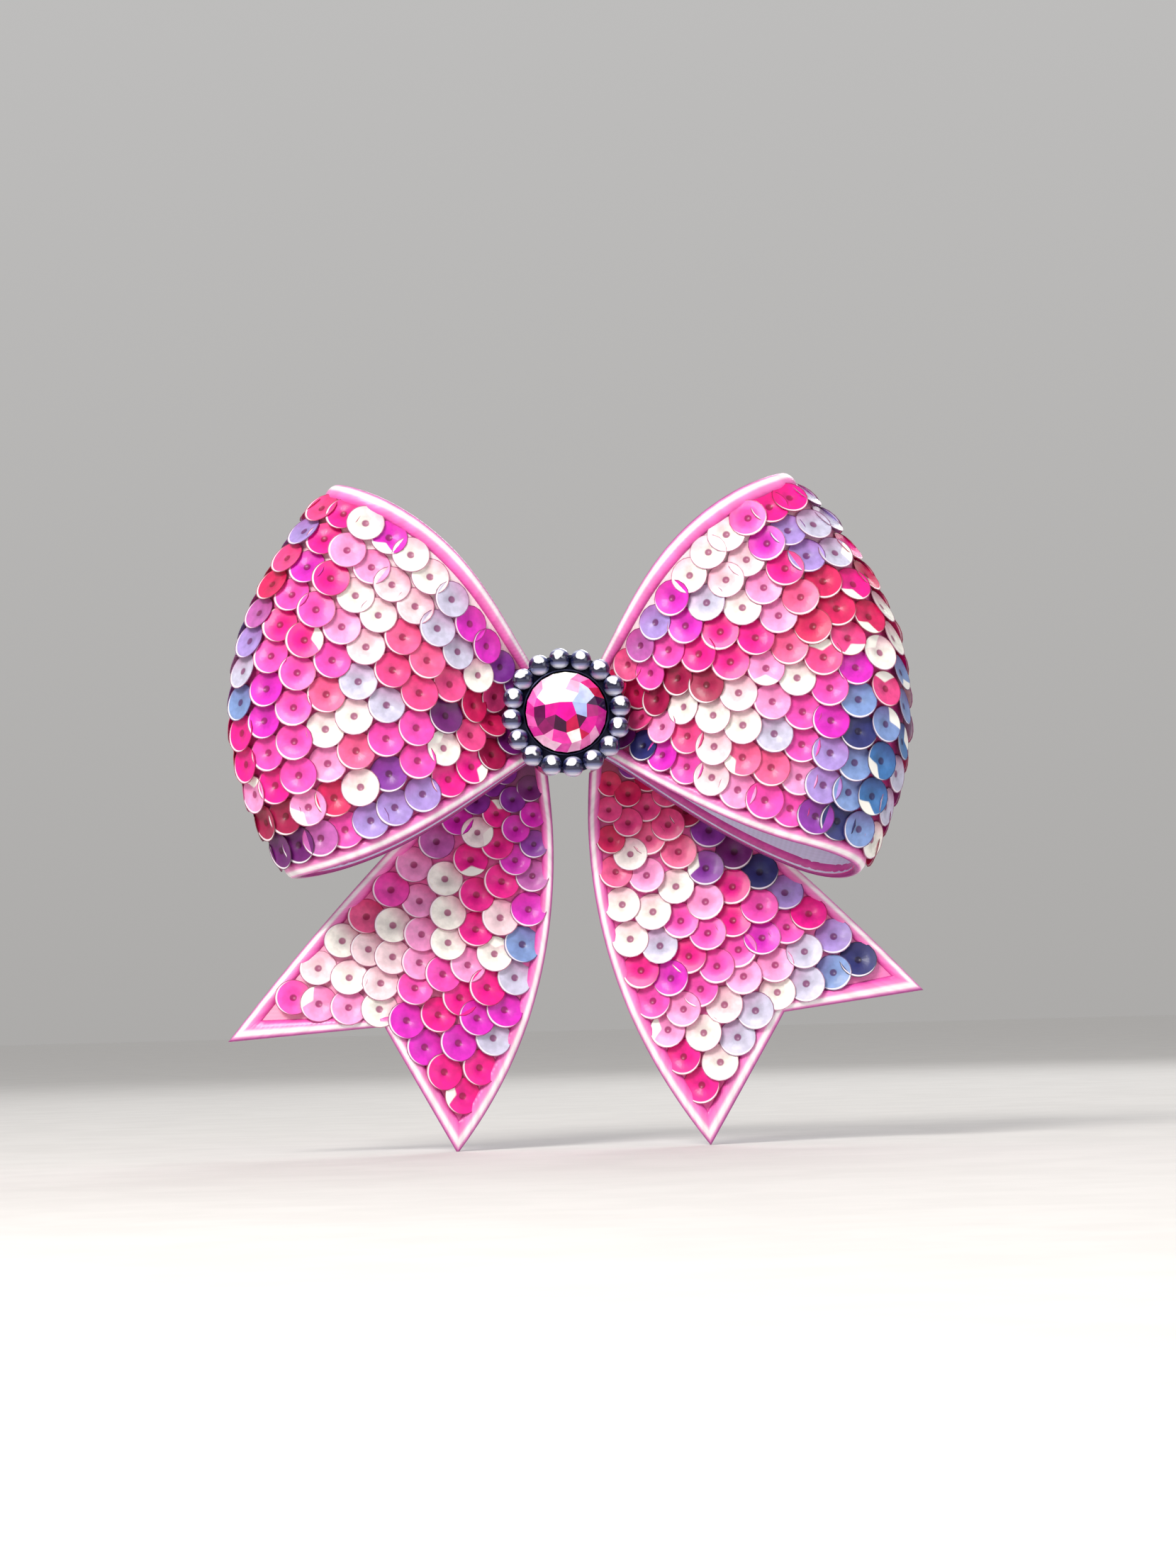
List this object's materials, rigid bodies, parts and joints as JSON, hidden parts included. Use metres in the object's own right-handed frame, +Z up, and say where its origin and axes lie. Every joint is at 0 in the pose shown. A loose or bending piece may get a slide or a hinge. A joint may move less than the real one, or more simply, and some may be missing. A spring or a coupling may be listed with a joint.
{
  "type": "cheer hair bow",
  "caption": "Large hair bow with sequin-covered ribbon loops and notched tails, a jewelled knot with a bead halo, and a sprung toothed clip behind it.",
  "frame": {"origin": "middle of the hair grip, between the jaws of the closed clip, straight behind the jewel's centre", "axes": "+X to the right of someone facing the bow, +Y from the jewel back through the clip to the head, +Z up as the bow is worn"},
  "size_m": [0.1475, 0.0469, 0.142],
  "materials": {
    "satin_ribbon": "pink double-faced satin ribbon",
    "sequins": "glossy cup sequins in magenta, pink, white, lavender, purple and slate blue",
    "binding": "light pink satin piping",
    "felt": "dark wool felt",
    "nylon_tie": "natural nylon",
    "dark_metal": "black nickel plate",
    "hematite_bead": "metallised dark silver-blue",
    "gem": "foil-backed faceted pink stone",
    "clip_steel": "nickel-plated spring steel",
    "spring_steel": "drawn spring wire",
    "grip_rubber": "matt moulded rubber"
  },
  "bodies": {
    "bow": {"left_loop_ribbon": "satin_ribbon", "left_loop_sequin_sheet": "sequins", "left_loop_top_binding": "binding", "left_loop_bottom_binding": "binding", "right_loop_ribbon": "satin_ribbon", "right_loop_sequin_sheet": "sequins", "right_loop_top_binding": "binding", "right_loop_bottom_binding": "binding", "knot_wrap": "satin_ribbon", "cinch_tie": "nylon_tie", "tail_gather": "satin_ribbon", "jewel_felt_pad": "felt", "jewel_back_plate": "dark_metal", "gem_bezel": "dark_metal", "gem": "gem", "halo_wire": "dark_metal", "halo_bead_01": "hematite_bead", "halo_bead_02": "hematite_bead", "halo_bead_03": "hematite_bead", "halo_bead_04": "hematite_bead", "halo_bead_05": "hematite_bead", "halo_bead_06": "hematite_bead", "halo_bead_07": "hematite_bead", "halo_bead_08": "hematite_bead", "halo_bead_09": "hematite_bead", "halo_bead_10": "hematite_bead", "halo_bead_11": "hematite_bead", "halo_bead_12": "hematite_bead", "halo_bead_13": "hematite_bead", "halo_bead_14": "hematite_bead", "halo_bead_15": "hematite_bead", "halo_bead_16": "hematite_bead", "clip_felt_patch": "felt", "clip_lining_ribbon": "satin_ribbon", "clip_top_jaw": "clip_steel", "clip_grip_pad": "grip_rubber", "clip_pivot_pin": "clip_steel", "clip_spring": "spring_steel"},
    "clip_lower_jaw": {"clip_lower_jaw": "clip_steel"},
    "left_tail": {"left_tail_ribbon": "satin_ribbon", "left_tail_sequin_sheet": "sequins", "left_tail_binding": "binding"},
    "right_tail": {"right_tail_ribbon": "satin_ribbon", "right_tail_sequin_sheet": "sequins", "right_tail_binding": "binding"}
  },
  "joints": [
    {"name": "clip_jaw_open", "type": "hinge", "parent": "bow", "child": "clip_lower_jaw", "pos_m": [0.01, -0.0008, 0], "axis": [0, 0, -1], "range_deg": [0, 32], "stiffness_Nm_per_rad": 0.08, "springref_deg": -34.38, "deforming": ["clip_spring"]},
    {"name": "left_tail_flap", "type": "hinge", "parent": "bow", "child": "left_tail", "pos_m": [-0.0065, -0.0087, -0.006], "axis": [0.8689, 0, -0.495], "range_deg": [0, 28], "stiffness_Nm_per_rad": 0.02},
    {"name": "right_tail_flap", "type": "hinge", "parent": "bow", "child": "right_tail", "pos_m": [0.0065, -0.0087, -0.006], "axis": [0.8689, 0, 0.495], "range_deg": [0, 28], "stiffness_Nm_per_rad": 0.02}
  ]
}
